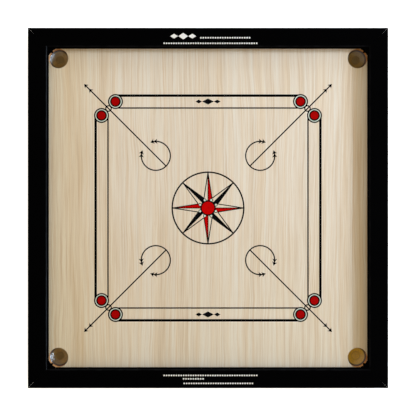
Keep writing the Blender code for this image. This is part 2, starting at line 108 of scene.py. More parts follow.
# Base lines and base circles
BASE_CIRCLE_OUT = 247.5 * MM
BASE_CIRCLE_ALONG = 215.1 * MM
BASE_RING_RADIUS = 15.9 * MM
BASE_RING_WIDTH = 3.0 * MM
BASE_LINE_REACH = 16.6 * MM
BASE_RED_RADIUS = 9.3 * MM
BASE_OUTLINE_WIDTH = 3.2 * MM
BASE_WHITE_WIDTH = 3.2 * MM
THICK_LINE_WIDTH = 5.8 * MM
THIN_LINE_WIDTH = 3.1 * MM
SMALL_RING_OUT = (BASE_CIRCLE_OUT + BASE_CIRCLE_ALONG) / 2
SMALL_RING_RADIUS = 6.3 * MM
SMALL_RING_WIDTH = 2.6 * MM

# Corner arrows, measured from the middle of the board along the diagonal
ARROW_TIP = 408 * MM
ARROW_WIDTH = 2.9 * MM
ARROW_HEADS_APART = 15.6 * MM
HEAD_LENGTH = 9.4 * MM
HEAD_WIDTH = 12 * MM
HEAD_NOTCH = 7.2 * MM
HEAD_HOLLOW = 0.3 * MM
ARC_CENTRE = 171.5 * MM
ARC_RADIUS = 33.7 * MM
ARC_START_DEG = 28
ARC_TIPS_DEG = (22, 35)
ARC_HEAD_LEAN_DEG = 6

# Star. Its ring has the middle radius of the frame's own ring, which is narrower.
STAR_RAYS = 8
FRAME_STAR_RING_WIDTH = 2.3 * MM
STAR_RADIUS = star_high.x - FRAME_STAR_RING_WIDTH / 2
STAR_RING_WIDTH = 3.4 * MM
STAR_CORNER_RADIUS = 24.5 * MM
STAR_LINE_WIDTH = 2.15 * MM
STAR_TIP_STEP = 0.3 * MM
STAR_ROOT_RADIUS = 18.4 * MM
STAR_ROOT_DEG = 14
CENTRE_RED_RADIUS = spot_high.x
CENTRE_RING_WIDTH = 3.3 * MM
CENTRE_RING_RADIUS = CENTRE_RED_RADIUS + CENTRE_RING_WIDTH / 2
STAR_DOT_RADIUS = 2.3 * MM
STAR_DOT_RIM = 1.7 * MM
STAR_DOT_CIRCLE = 19.8 * MM

# Plain lozenges between the base lines: distance from the middle, length and height
LOZENGES = ((0.0, 27 * MM, 14 * MM), (21.5 * MM, 15 * MM, 9 * MM))

# Plain marks on the front and back rails. A row of beads has its distance from the middle of the rail towards
# the front, the place of its middle bead and the number of beads on each side of it. A lozenge has its place,
# its length and its height.
BEAD_RADIUS = 1.9 * MM
BEAD_PITCH = 5.6 * MM
BACK_BEADS = ((2.8 * MM, 39.6 * MM, 10), (15.5 * MM, 5.6 * MM, 19))
FRONT_BEADS = ((-9.3 * MM, 5.6 * MM, 19), (-1.4 * MM, -33.7 * MM, 4), (9.0 * MM, 23.7 * MM, 14))
RAIL_LOZENGES = ((-78 * MM, 18 * MM, 11 * MM), (-57 * MM, 22 * MM, 15 * MM), (-36 * MM, 18 * MM, 11 * MM))
RAIL_LOZENGE_DROP = -0.9 * MM

# Pocket bag: a gathered sloping wall sewn to a round floor
BAG_THICKNESS = 1.5 * MM
BAG_FLOOR_RADIUS = 8.5 * MM
BAG_LIP_DEPTH = 0.8 * MM
BAG_BEND = 0.9 * MM
BAG_GATHERS = 28
GATHER_HEIGHT = 0.16 * MM
GATHER_START = 10.5 * MM
SEAM_RADIUS = 9.2 * MM
SEAM_WIDTH = 0.7 * MM
SEAM_DEPTH = 0.35 * MM
PRESSED_RING_PITCH = 2.6 * MM
PRESSED_RING_HEIGHT = 0.05 * MM
STITCH_CIRCLE = SEAM_RADIUS + 1.5 * MM
STITCHES = 28
STITCH_RADIUS = 0.28 * MM
STITCH_RISE = 0.40 * MM
STITCH_FILL = 0.62
# Painted shade darkens the bag from here out to its rim
RIM_SHADE_FROM = 18.2 * MM
RIM_SHADE_TO = 20.8 * MM

# Pocket ring: a flange on a sleeve, in which the bag hangs
RING_INNER_RADIUS = BAG_RADIUS + GAP
RING_SLEEVE_WALL = 1.6 * MM
RING_FLANGE_THICKNESS = 2.2 * MM
RING_EDGE = 0.5 * MM
RING_FILLET = 1.0 * MM
RING_CHAMFER = 0.2 * MM

# Screws. The sizes of the cross recess are shares of the head's radius or of the recess's own width.
SCREW_POINT = 3 * MM
SCREW_STEPS = 40
SCREW_TURN_DEG = 37
RECESS_WIDTH = 1.25
RECESS_DEPTH = 0.42
RECESS_BLADE = 0.24
RECESS_TAPER = (0.45, 0.6)
BATTEN_SCREW_SHANK = 2.0 * MM
BATTEN_SCREW_HEAD = 2.4 * MM
BATTEN_SCREW_RIM = 0.35 * MM
BATTEN_SCREW_EDGE = (0.2 * MM, 0.15 * MM)
RING_SCREW_SHANK = 1.5 * MM
RING_SCREW_HEAD = 2.2 * MM
RING_SCREW_WALL = 0.7 * MM

# Veneer: tones from dark to light, tints, and each pattern's fineness across, along and through the board
VENEER_TONES = (
    (0.38, (0.650, 0.520, 0.385)),
    (0.45, (0.714, 0.604, 0.484)),
    (0.51, (0.748, 0.658, 0.553)),
    (0.60, (0.795, 0.733, 0.650)),
)
COOL_VENEER = (0.765, 0.745, 0.705)
WARM_VENEER = (0.755, 0.600, 0.420)
PORE_COLOUR = (0.52, 0.40, 0.27)
BEND_GRAIN = (5, 1.6, 5)
RIPPLE_GRAIN = (16, 9, 5)
BROAD_GRAIN = (19, 0.7, 3)
STREAK_GRAIN = (85, 1.5, 3)
BAND_GRAIN = (150, 1.1, 7)
FINE_GRAIN = (370, 5, 3)
PORE_GRAIN = (1100, 38, 3)
BEND_REACH = 26 * MM
RIPPLE_REACH = 10 * MM

# Painted shade: the veneer is darker and yellower towards the left rail, and darker towards the front.
# Each tint fades out from the first of its places to the second.
LEFT_SHADE_TINT = (0.955, 0.915, 0.800)
LEFT_SHADE_X = (-0.34, -0.17)
LEFT_SHADE_WANDER = 60 * MM
FRONT_SHADE_TINT = (0.940, 0.937, 0.895)
FRONT_SHADE_Y = (-0.34, 0.02)

# Plies on the walls of the pocket holes
PLIES = 11
PLY_THICKNESS = (SHEET_TOP - SHEET_BOTTOM) / PLIES
PLY_TONES = ((0.74, 0.38, 0.13), (0.54, 0.25, 0.08))
PLY_FIBRE_COLOUR = (0.36, 0.17, 0.06)
PLY_GRAIN = (500, 500, 2600)
# Painted shade on the rounded rims of the pocket holes
HOLE_RIM_SHADE = (0.10, 0.055, 0.025)

# Lights: the turn from +X, the elevation as seen from the edge of the board, the distance from there, the
# size, the power in watts and the colour
KEY_COLOUR = (0.64, 0.80, 1.0)
BACK_COLOUR = (0.80, 0.90, 1.0)
FILL_COLOUR = (0.64, 0.52, 0.335)
LIGHTS = {
    "key": (18, 28.3, 3.5, (0.83, 0.15), 83, KEY_COLOUR),
    "panel": (16, 21, 2.1, (0.65, 0.45), 28, KEY_COLOUR),
    "high": (-14, 36.3, 2.4, (0.5, 0.28), 12, KEY_COLOUR),
    "glint": (-14, 36.3, 2.45, (0.6, 0.34), 56, KEY_COLOUR),
    "back": (90, 20, 2.1, (1.5, 0.6), 15, BACK_COLOUR),
}

# What surrounds the board: the sky that shiny things mirror, as places in a ramp and their colours, the
# floor, and the camera straight above
HORIZON = (0.15, (0.62, 0.62, 0.64))
ZENITH = (0.85, (0.012, 0.012, 0.013))
BACKDROP = (0.95, 0.95, 0.95)
FLOOR_HALF_WIDTH = 12
FLOOR_DROP = 0.2 * MM
FLOOR_COLOUR = (0.90, 0.90, 0.90)
FLOOR_GLOW = (0.22, 0.85)
POCKET_SHADE = (30 * MM, 75 * MM)
CAMERA_HEIGHT = 2.0
CAMERA_SENSOR_MM = 36
CAMERA_LENS_MM = 74.45

# Colour sockets of Blender's Mix node, which share their names with its other sockets
MIX_FIRST, MIX_SECOND, MIX_RESULT = 6, 7, 2


# Outlines


def polar(radius, degrees):
    angle = math.radians(degrees)
    return (radius * math.cos(angle), radius * math.sin(angle))


def shifted(outline, dx, dy=0.0):
    return [(x + dx, y + dy) for x, y in outline]


def turned(outline, degrees):
    """The outline turned about the middle of the board."""
    cos, sin = polar(1, degrees)
    return [(x * cos - y * sin, x * sin + y * cos) for x, y in outline]


def arc(radius, start, end, steps):
    """Points along an arc about the origin, both ends included, in degrees."""
    return [polar(radius, start + (end - start) * step / steps) for step in range(steps + 1)]


def circle(radius, centre=(0.0, 0.0), steps=FINE):
    return shifted(arc(radius, 0, 360 - 360 / steps, steps - 1), *centre)


def annulus(radius, width, centre=(0.0, 0.0), steps=FINE):
    """The outer and the inner outline of a ring whose line has this width and middle radius."""
    return [circle(radius + side * width / 2, centre, steps) for side in (1, -1)]


def strip(start, end, width):
    """A straight line of ink from one point to another."""
    along = (end[0] - start[0], end[1] - start[1])
    scale = width / 2 / math.hypot(*along)
    across = (-along[1] * scale, along[0] * scale)
    return [
        (start[0] + across[0], start[1] + across[1]),
        (start[0] - across[0], start[1] - across[1]),
        (end[0] - across[0], end[1] - across[1]),
        (end[0] + across[0], end[1] + across[1]),
    ]


def arrowhead(tip, heading):
    """A notched head with hollow sides that points along its heading, in degrees."""
    side = []
    steps = 6
    for step in range(steps + 1):
        share = step / steps
        hollow = HEAD_HOLLOW * math.sin(math.pi * share)
        side.append((-HEAD_LENGTH * share, HEAD_WIDTH / 2 * share - hollow))
    outline = side + [(-HEAD_NOTCH, 0)] + [(x, -y) for x, y in reversed(side[1:])]
    return shifted(turned(outline, heading), *tip)


def lozenge(centre, length, height):
    return shifted([(-length / 2, 0), (0, -height / 2), (length / 2, 0), (0, height / 2)], *centre)


def on_sides(outlines):
    """The outlines of one side, repeated on all four."""
    return [turned(outline, turn) for turn in SIDES.values() for outline in outlines]


def on_diagonals(outlines):
    """The outlines of one corner, drawn along +X, repeated on all four diagonals."""
    return [turned(outline, 45 + turn) for turn in SIDES.values() for outline in outlines]


# Meshes


def weld(mesh):
    work = bmesh.new()
    work.from_mesh(mesh)
    bmesh.ops.remove_doubles(work, verts=work.verts, dist=WELD_DISTANCE)
    bmesh.ops.recalc_face_normals(work, faces=work.faces)
    work.to_mesh(mesh)
    work.free()
    return mesh


def evaluated_mesh(source):
    """The mesh that a curve or a modified object makes. The source is removed."""
    graph = bpy.context.evaluated_depsgraph_get()
    mesh = bpy.data.meshes.new_from_object(source.evaluated_get(graph))
    bpy.data.objects.remove(source)
    return mesh


def in_scene(name, data):
    item = bpy.data.objects.new(name, data)
    bpy.context.scene.collection.objects.link(item)
    return item


def flat_mesh(name, outlines, low, high):
    """A flat sheet from one height to another. An outline inside another one is a hole in it."""
    curve = bpy.data.curves.new(name, "CURVE")
    curve.dimensions = "2D"
    curve.fill_mode = "BOTH"
    curve.extrude = (high - low) / 2
    for outline in outlines:
        spline = curve.splines.new("POLY")
        spline.points.add(len(outline) - 1)
        for point, (x, y) in zip(spline.points, outline):
            point.co = (x, y, 0, 1)
        spline.use_cyclic_u = True
    mesh = weld(evaluated_mesh(in_scene(name, curve)))
    mesh.transform(Matrix.Translation((0, 0, (low + high) / 2)))
    return mesh


def turned_mesh(name, profile, closed=False, steps=FINE):
    """A round mesh about Z, from (radius, height) points that run down its outer side."""
    edges = [(index, index + 1) for index in range(len(profile) - 1)]
    if closed:
        edges.append((len(profile) - 1, 0))
    outline = bpy.data.meshes.new(name + "_profile")
    outline.from_pydata([(radius, 0, height) for radius, height in profile], edges, [])
    source = in_scene(name, outline)
    screw = source.modifiers.new("turn", "SCREW")
    screw.steps = steps
    screw.render_steps = steps
    screw.use_merge_vertices = True
    screw.merge_threshold = WELD_DISTANCE
    return weld(evaluated_mesh(source))


def tube_mesh(name, paths, radius):
    """Round cords along paths of points, closed at their ends."""
    curve = bpy.data.curves.new(name, "CURVE")
    curve.dimensions = "3D"
    curve.bevel_depth = radius
    curve.bevel_resolution = 1
    curve.use_fill_caps = True
    for path in paths:
        spline = curve.splines.new("POLY")
        spline.points.add(len(path) - 1)
        for point, place in zip(spline.points, path):
            point.co = (*place, 1)
    return weld(evaluated_mesh(in_scene(name, curve)))


def rounded(name, mesh, width, angle=40):
    """The mesh with its edges rounded where its faces turn by more than this angle, in degrees."""
    work = bmesh.new()
    work.from_mesh(mesh)
    bmesh.ops.dissolve_limit(work, angle_limit=math.radians(0.5), verts=work.verts, edges=work.edges)
    work.to_mesh(mesh)
    work.free()
    source = in_scene(name, mesh)
    bevel = source.modifiers.new("round", "BEVEL")
    bevel.width = width
    bevel.segments = 3
    bevel.limit_method = "ANGLE"
    bevel.angle_limit = math.radians(angle)
    return evaluated_mesh(source)


def cut_away(name, mesh, others):
    """The mesh less each of the others."""
    source = in_scene(name, mesh)
    cutters = []
    for index, other in enumerate(others):
        cutter = in_scene(f"{name}_cutter_{index}", other)
        step = source.modifiers.new("cut", "BOOLEAN")
        step.operation = "DIFFERENCE"
        step.solver = "EXACT"
        step.object = cutter
        cutters.append(cutter)
    result = evaluated_mesh(source)
    for cutter in cutters:
        bpy.data.objects.remove(cutter)
    return result


def stacked(name, meshes):
    """The meshes as one. Their shells stay apart."""
    work = bmesh.new()
    for mesh in meshes:
        work.from_mesh(mesh)
    result = bpy.data.meshes.new(name)
    work.to_mesh(result)
    work.free()
    return result


def smooth(mesh, degrees=30):
    """Smooth shading up to this angle between faces. A flat face stays flat up to its rounded edge."""
    mesh.shade_smooth()
    mesh.set_sharp_from_angle(angle=math.radians(degrees))
    source = in_scene("smooth", mesh)
    weigh = source.modifiers.new("weigh", "WEIGHTED_NORMAL")
    weigh.weight = 100
    weigh.keep_sharp = True
    return evaluated_mesh(source)


def piece(name, mesh, material, stands_for=(), turn=0.0, place=(0, 0, 0)):
    """A finished piece of the object, which rides on its only body."""
    mesh.materials.clear()
    mesh.materials.append(material)
    item = in_scene(name, mesh)
    item.matrix_world = Matrix.Rotation(math.radians(turn), 4, "Z") @ Matrix.Translation(place)
    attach(item, "root")
    if stands_for:
        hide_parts(*stands_for)
    return item


# Materials


class Shader:
    """A Principled material and short ways to wire its pattern nodes."""

    def __init__(self, name, **values):
        self.material = bpy.data.materials.new(name)
        self.material.use_nodes = True
        self.tree = self.material.node_tree
        self.surface = self.tree.nodes["Principled BSDF"]
        self.where = self.tree.nodes.new("ShaderNodeTexCoord").outputs["Object"]
        for key, value in values.items():
            self.set(key.replace("_", " ").title().replace("Ior", "IOR"), value)

    def set(self, socket, value):
        target = self.surface.inputs[socket]
        if isinstance(value, bpy.types.NodeSocket):
            self.tree.links.new(value, target)
        elif isinstance(value, tuple):
            target.default_value = (*value, 1)
        else:
            target.default_value = value

    def feed(self, node, index, value):
        target = node.inputs[index]
        if isinstance(value, bpy.types.NodeSocket):
            self.tree.links.new(value, target)
        else:
            target.default_value = value

    def maths(self, operation, first, second=0.0, third=0.0):
        node = self.tree.nodes.new("ShaderNodeMath")
        node.operation = operation
        for index, value in enumerate((first, second, third)):
            self.feed(node, index, value)
        return node.outputs[0]

    def geometry(self, output):
        return self.tree.nodes.new("ShaderNodeNewGeometry").outputs[output]

    def split(self, vector=None):
        node = self.tree.nodes.new("ShaderNodeSeparateXYZ")
        self.feed(node, 0, vector or self.where)
        return node.outputs

    def stretched(self, scale, warp=None):
        """The place in the object, with each axis scaled, after an optional shift along X."""
        x, y, z = self.split()
        if warp is not None:
            x = self.maths("ADD", x, warp)
        node = self.tree.nodes.new("ShaderNodeCombineXYZ")
        for index, (value, factor) in enumerate(zip((x, y, z), scale)):
            self.feed(node, index, self.maths("MULTIPLY", value, factor))
        return node.outputs[0]

    def noise(self, vector=None, scale=1.0, detail=3.0, roughness=0.5, distortion=0.0):
        node = self.tree.nodes.new("ShaderNodeTexNoise")
        self.feed(node, "Vector", vector or self.where)
        self.feed(node, "Scale", scale)
        self.feed(node, "Detail", detail)
        self.feed(node, "Roughness", roughness)
        self.feed(node, "Distortion", distortion)
        return node.outputs["Fac"]

    def grain(self, scale, warp=None, detail=2.0, roughness=0.5, distortion=0.0):
        """Noise with its own fineness along each axis, after an optional shift along X."""
        return self.noise(self.stretched(scale, warp), 1.0, detail, roughness, distortion)

    def cells(self, scale):
        node = self.tree.nodes.new("ShaderNodeTexVoronoi")
        self.feed(node, "Vector", self.where)
        self.feed(node, "Scale", scale)
        return node.outputs["Distance"]

    def ramp(self, value, stops):
        """A colour for each value. A stop is a position and a colour."""
        node = self.tree.nodes.new("ShaderNodeValToRGB")
        band = node.color_ramp
        while len(band.elements) < len(stops):
            band.elements.new(1.0)
        for element, (position, colour) in zip(band.elements, stops):
            element.position = position
            element.color = (*colour, 1)
        self.feed(node, 0, value)
        return node.outputs[0]

    def ranged(self, value, low, high, to_low, to_high):
        """The value carried from one range to another, and kept within it."""
        node = self.tree.nodes.new("ShaderNodeMapRange")
        for index, number in enumerate((value, low, high, to_low, to_high)):
            self.feed(node, index, number)
        return node.outputs[0]

    def mix(self, factor, first, second, blend="MIX"):
        node = self.tree.nodes.new("ShaderNodeMix")
        node.data_type = "RGBA"
        node.blend_type = blend
        self.feed(node, "Factor", factor)
        for socket, value in ((MIX_FIRST, first), (MIX_SECOND, second)):
            if isinstance(value, tuple):
                value = (*value, 1)
            self.feed(node, socket, value)
        return node.outputs[MIX_RESULT]

    def bump(self, height, strength, distance):
        node = self.tree.nodes.new("ShaderNodeBump")
        self.feed(node, "Strength", strength)
        self.feed(node, "Distance", distance)
        self.feed(node, "Height", height)
        self.set("Normal", node.outputs[0])


def veneer_and_plies():
    """Lacquered birch veneer, grain along Y, bare plies on the walls of its holes and painted shade on their
    rims.
    """
    shader = Shader("birch_ply", coat_weight=0.12, coat_roughness=0.16)
    bend = shader.maths("MULTIPLY", shader.grain(BEND_GRAIN), BEND_REACH)
    bend = shader.maths("MULTIPLY_ADD", shader.grain(RIPPLE_GRAIN), RIPPLE_REACH, bend)
    broad = shader.grain(BROAD_GRAIN, bend)
    streak = shader.grain(STREAK_GRAIN, bend, detail=3.0, roughness=0.55)
    band = shader.grain(BAND_GRAIN, bend, roughness=0.6)
    fine = shader.grain(FINE_GRAIN, bend, roughness=0.6)
    pores = shader.grain(PORE_GRAIN, bend, detail=1.0)
    tone = shader.maths("MULTIPLY", broad, 0.26)
    tone = shader.maths("MULTIPLY_ADD", streak, 0.13, tone)
    tone = shader.maths("MULTIPLY_ADD", fine, 0.61, tone)
    veneer = shader.ramp(tone, VENEER_TONES)
    veneer = shader.mix(shader.ranged(band, 0.52, 0.70, 0.0, 0.36), veneer, COOL_VENEER)
    veneer = shader.mix(shader.ranged(band, 0.32, 0.48, 0.32, 0.0), veneer, WARM_VENEER)
    veneer = shader.mix(shader.ranged(pores, 0.62, 0.75, 0.0, 0.22), veneer, PORE_COLOUR)
    x, y, height = shader.split()
    # Painted shade: darker and yellower towards the left rail, and darker towards the front
    across = shader.maths("MULTIPLY_ADD", broad, LEFT_SHADE_WANDER, x)
    veneer = shader.mix(shader.ranged(across, *LEFT_SHADE_X, 1.0, 0.0), veneer, LEFT_SHADE_TINT, "MULTIPLY")
    veneer = shader.mix(shader.ranged(y, *FRONT_SHADE_Y, 1.0, 0.0), veneer, FRONT_SHADE_TINT, "MULTIPLY")
    layer = shader.maths("DIVIDE", shader.maths("SUBTRACT", height, SHEET_BOTTOM), PLY_THICKNESS)
    odd = shader.maths("GREATER_THAN", shader.maths("PINGPONG", layer, 1.0), 0.5)
    fibre = shader.grain(PLY_GRAIN, detail=3.0)
    plies = shader.mix(odd, *PLY_TONES)
    plies = shader.mix(shader.ranged(fibre, 0.35, 0.65, 0.0, 0.35), plies, PLY_FIBRE_COLOUR)
    facing = shader.maths("ABSOLUTE", shader.split(shader.geometry("True Normal"))[2])
    is_face = shader.ranged(facing, 0.45, 0.60, 0.0, 1.0)
    # Painted shade darkens the rounded rim of each hole
    hole_rim_shade = shader.maths("MULTIPLY", is_face, shader.ranged(facing, 0.90, 0.99, 0.75, 0.0))
    shader.set("Base Color", shader.mix(hole_rim_shade, shader.mix(is_face, plies, veneer), HOLE_RIM_SHADE))
    sheen = shader.maths("MULTIPLY_ADD", shader.noise(scale=24, detail=4), 0.10, 0.27)
    shader.set("Roughness", shader.mix(is_face, (0.7, 0.7, 0.7), sheen))
    shader.bump(shader.maths("ADD", fine, pores), 0.12, 0.05 * MM)
    return shader.material


def batten_wood(name, axis, light, dark):
    """Sawn softwood with its grain along one axis."""
    shader = Shader(name, specular_ior_level=0.3)
    slow = [42.0, 42.0, 42.0]
    slow[axis] = 1.6
    quick = [560.0, 560.0, 560.0]
    quick[axis] = 9.0
    wander = shader.maths("MULTIPLY", shader.grain((4, 4, 4)), 20 * MM)
    rings = shader.grain(slow, wander, detail=3.0, roughness=0.6, distortion=0.4)
    bands = shader.maths("SINE", shader.maths("MULTIPLY", rings, 46.0))
    fibre = shader.grain(quick, detail=3.0)
    tone = shader.maths("MULTIPLY_ADD", bands, 0.16, shader.maths("MULTIPLY", fibre, 0.9))
    middle = tuple((first + second) / 2 for first, second in zip(light, dark))
    shader.set("Base Color", shader.ramp(tone, ((0.22, dark), (0.46, middle), (0.66, light))))
    shader.set("Roughness", shader.ranged(fibre, 0.3, 0.7, 0.55, 0.78))
    shader.bump(shader.maths("MULTIPLY_ADD", bands, 0.3, fibre), 0.45, 0.15 * MM)
    return shader.material


def black_lacquer():
    """Sprayed black lacquer, rubbed a little duller along the edges of the frame."""
    shader = Shader("black_lacquer", specular_ior_level=0.05)
    x, y, height = shader.split()
    reach = shader.maths("MAXIMUM", shader.maths("ABSOLUTE", x), shader.maths("ABSOLUTE", y))
    from_lip = shader.maths("ABSOLUTE", shader.maths("SUBTRACT", reach, HALF_FIELD + RAIL_LIP_RADIUS / 2))
    from_edge = shader.maths("ABSOLUTE", shader.maths("SUBTRACT", reach, HALF_FRAME))
    near = shader.maths("MINIMUM", from_lip, from_edge)
    high = shader.ranged(height, FRAME_HEIGHT - 6 * MM, FRAME_HEIGHT - 1 * MM, 0.0, 1.0)
    handled = shader.noise(scale=38, detail=5, roughness=0.65)
    edge = shader.maths("MULTIPLY", shader.ranged(near, 0.4 * MM, 3.2 * MM, 1.0, 0.0), high)
    wear = shader.maths("MULTIPLY", edge, shader.ranged(handled, 0.42, 0.66, 0.15, 1.0))
    shader.set("Base Color", shader.mix(wear, (0.0008, 0.0008, 0.0010), (0.0050, 0.0050, 0.0060)))
    on_top = shader.ranged(reach, HALF_FIELD + 0.2 * MM, HALF_FIELD + 1.2 * MM, 0.0, 0.04)
    shader.set("Specular IOR Level", on_top)
    cloudy = shader.ranged(shader.noise(scale=9, detail=4), 0.3, 0.7, 0.18, 0.26)
    shader.set("Roughness", shader.maths("MULTIPLY_ADD", wear, 0.12, cloudy))
    peel = shader.noise(scale=620, detail=2)
    shader.bump(peel, 0.10, 0.06 * MM)
    return shader.material


def ink(name, colour, other, roughness=0.36):
    """Screen-printed ink, a little uneven in depth and sheen."""
    shader = Shader(name, specular_ior_level=0.03)
    cloud = shader.noise(scale=160, detail=4, roughness=0.6)
    grain = shader.noise(scale=2400, detail=1)
    shader.set("Base Color", shader.mix(shader.ranged(cloud, 0.35, 0.7, 0.0, 1.0), colour, other))
    shader.set("Roughness", shader.ranged(grain, 0.3, 0.7, roughness - 0.06, roughness + 0.10))
    shader.bump(grain, 0.15, 0.02 * MM)
    return shader.material


def moulded_nylon():
    shader = Shader("white_nylon", specular_ior_level=0.45)
    cloud = shader.noise(scale=110, detail=3)
    shader.set("Base Color", shader.mix(cloud, (0.74, 0.76, 0.74), (0.84, 0.85, 0.83)))
    texture = shader.noise(scale=1500, detail=2)
    shader.set("Roughness", shader.ranged(texture, 0.3, 0.7, 0.38, 0.52))
    shader.bump(texture, 0.2, 0.05 * MM)
    return shader.material


def bag_leather():
    """Glossy pebbled leather with a dark seam, painted shade round its rim and in its creases, and painted
    light that makes it lighter and yellower towards the front right.
    """
    gloss = {"specular_ior_level": 0.95, "coat_weight": 0.9, "coat_roughness": 0.22, "coat_ior": 2.0}
    shader = Shader("bag_leather", **gloss)
    x, y, _ = shader.split()
    radius = shader.maths("SQRT", shader.maths("MULTIPLY_ADD", x, x, shader.maths("MULTIPLY", y, y)))
    pebble = shader.cells(1100)
    blotch = shader.noise(scale=70, detail=5, roughness=0.6)
    tones = ((0.30, (0.25, 0.19, 0.060)), (0.52, (0.35, 0.27, 0.080)), (0.72, (0.45, 0.36, 0.105)))
    colour = shader.ramp(blotch, tones)
    # Painted light: the bags are lighter and yellower towards the front right
    world_x, world_y, _ = shader.split(shader.geometry("Position"))
    front_right_light = shader.ranged(shader.maths("SUBTRACT", world_x, world_y), 0.0, 2 * POCKET_OFFSET, 0.0, 1.0)
    colour = shader.mix(front_right_light, colour, (0.93, 0.66, 0.055))
    # Painted shade in the creases between the pebbles
    crease_shade = shader.ranged(pebble, 0.45, 0.75, 0.0, 0.45)
    colour = shader.mix(crease_shade, colour, (0.16, 0.10, 0.030))
    # Painted shade round the rim, and the dark stitched seam
    rim = shader.ranged(radius, RIM_SHADE_FROM, RIM_SHADE_TO, 0.0, 0.95)
    off_seam = shader.maths("ABSOLUTE", shader.maths("SUBTRACT", radius, SEAM_RADIUS))
    seam = shader.ranged(off_seam, 0.0, SEAM_WIDTH, 0.35, 0.0)
    dark = shader.maths("MAXIMUM", rim, seam)
    shader.set("Base Color", shader.mix(dark, colour, (0.035, 0.020, 0.008)))
    shader.set("Roughness", shader.ranged(blotch, 0.3, 0.7, 0.38, 0.50))
    shader.bump(shader.maths("MULTIPLY", pebble, -1.0), 0.25, 0.12 * MM)
    return shader.material


def waxed_thread():
    shader = Shader("waxed_thread", specular_ior_level=0.3, roughness=0.6)
    fleck = shader.noise(scale=2600, detail=2)
    shader.set("Base Color", shader.mix(fleck, (0.34, 0.24, 0.10), (0.52, 0.40, 0.20)))
    shader.bump(fleck, 0.5, 0.1 * MM)
    return shader.material


def zinc_steel():
    """Zinc-plated steel with a faint yellow cast and fine marks from the driver."""
    shader = Shader("zinc_steel", metallic=1.0)
    tint = shader.noise(scale=240, detail=4)
    shader.set("Base Color", shader.mix(tint, (0.58, 0.57, 0.53), (0.72, 0.67, 0.55)))
    marks = shader.grain((3000, 700, 700), detail=3.0)
    shader.set("Roughness", shader.ranged(marks, 0.3, 0.7, 0.24, 0.44))
    shader.bump(marks, 0.2, 0.03 * MM)
    return shader.material


PLY = veneer_and_plies()
LACQUER = black_lacquer()
BLACK_INK = ink("black_ink", (0.002, 0.002, 0.003), (0.005, 0.005, 0.006))
RED_INK = ink("red_ink", (0.525, 0.0004, 0.0008), (0.435, 0.0003, 0.0006), 0.42)
DARK_RED_INK = ink("dark_red_ink", (0.365, 0.0004, 0.0008), (0.30, 0.0003, 0.0006), 0.42)
WHITE_INK = ink("white_ink", (0.66, 0.71, 0.66), (0.58, 0.63, 0.58), 0.45)
FRAME_INK = ink("frame_white_ink", (0.80, 0.81, 0.82), (0.70, 0.71, 0.72), 0.45)
NYLON = moulded_nylon()
LEATHER = bag_leather()
THREAD = waxed_thread()
STEEL = zinc_steel()
BATTEN_X = batten_wood("batten_wood_across", 0, (0.60, 0.42, 0.24), (0.36, 0.21, 0.10))
BATTEN_Y = batten_wood("batten_wood_along", 1, (0.60, 0.42, 0.24), (0.36, 0.21, 0.10))
SPLINE = batten_wood("spline_wood", 0, (0.66, 0.47, 0.28), (0.44, 0.27, 0.13))


# Playing board and frame


def build_playing_board():
    edge = [polar(HALF_SHEET * math.sqrt(2), 45 + turn) for turn in SIDES.values()]
    hole = circle(POCKET_RADIUS, polar(POCKET_OFFSET * math.sqrt(2), 0))
    mesh = flat_mesh("playing_board_fine", [edge, *on_diagonals([hole])], SHEET_BOTTOM, SHEET_TOP)
    mesh = smooth(rounded("playing_board_fine", mesh, HOLE_EDGE))
    piece("playing_board_veneered", mesh, PLY, ["playing_board"])


def rail_section():
    """Across a rail: distance out from the playing edge, and height."""
    top = FRAME_HEIGHT - RAIL_TOP_DROP
    edge = RAIL_EDGE_RADIUS
    foot = shifted(arc(edge, -90, 0, 5), RAIL_WIDTH - edge, edge)
    shoulder = shifted(arc(edge, 0, 90, 5), RAIL_WIDTH - edge, top - edge)
    lip = shifted(arc(RAIL_LIP_RADIUS, 90, 180, 12), RAIL_LIP_RADIUS, top - RAIL_LIP_RADIUS)
    return [(REBATE, 0), *foot, *shoulder, *lip, (0, SHEET_TOP + GAP), (REBATE, SHEET_TOP + GAP)]


def build_rails():
    """The section drawn out along the side, with both ends sheared to 45 degrees."""
    for side, turn in SIDES.items():
        mesh = flat_mesh("rail", [rail_section()], -HALF_FIELD, HALF_FIELD)
        for vertex in mesh.vertices:
            out, height, along = vertex.co
            seam = RAIL_END_SEAM if height > FRAME_HEIGHT - RAIL_LIP_RADIUS / 2 else 0.0
            reach = HALF_FIELD + out - seam
            vertex.co = (-math.copysign(reach, along), -HALF_FIELD - out, height)
        name = "frame_rail_" + side
        piece("lacquered_rail_" + side, smooth(mesh), LACQUER, [name], turn)


def corner_block_outline():
    wall = POCKET_RADIUS - GAP
    lower = arc(POCKET_RADIUS, BLOCK_START_DEG, 45 - NOSE_HALF_DEG, 10)
    upper = arc(POCKET_RADIUS, 45 + NOSE_HALF_DEG, 90 - BLOCK_START_DEG, 10)
    nose = polar(POCKET_RADIUS - NOSE_LENGTH, 45)
    return [(wall, lower[0][1]), *lower, nose, *upper, (upper[-1][0], wall), (wall, wall)]


def build_corner_blocks():
    for corner, turn in CORNERS.items():
        mesh = flat_mesh("block", [corner_block_outline()], block_low.z, block_high.z)
        mesh = smooth(rounded("block", mesh, BLOCK_EDGE, angle=50))
        name = "corner_block_" + corner
        piece("lacquered_block_" + corner, mesh, LACQUER, [name], turn, POCKET)


# Pocket fittings


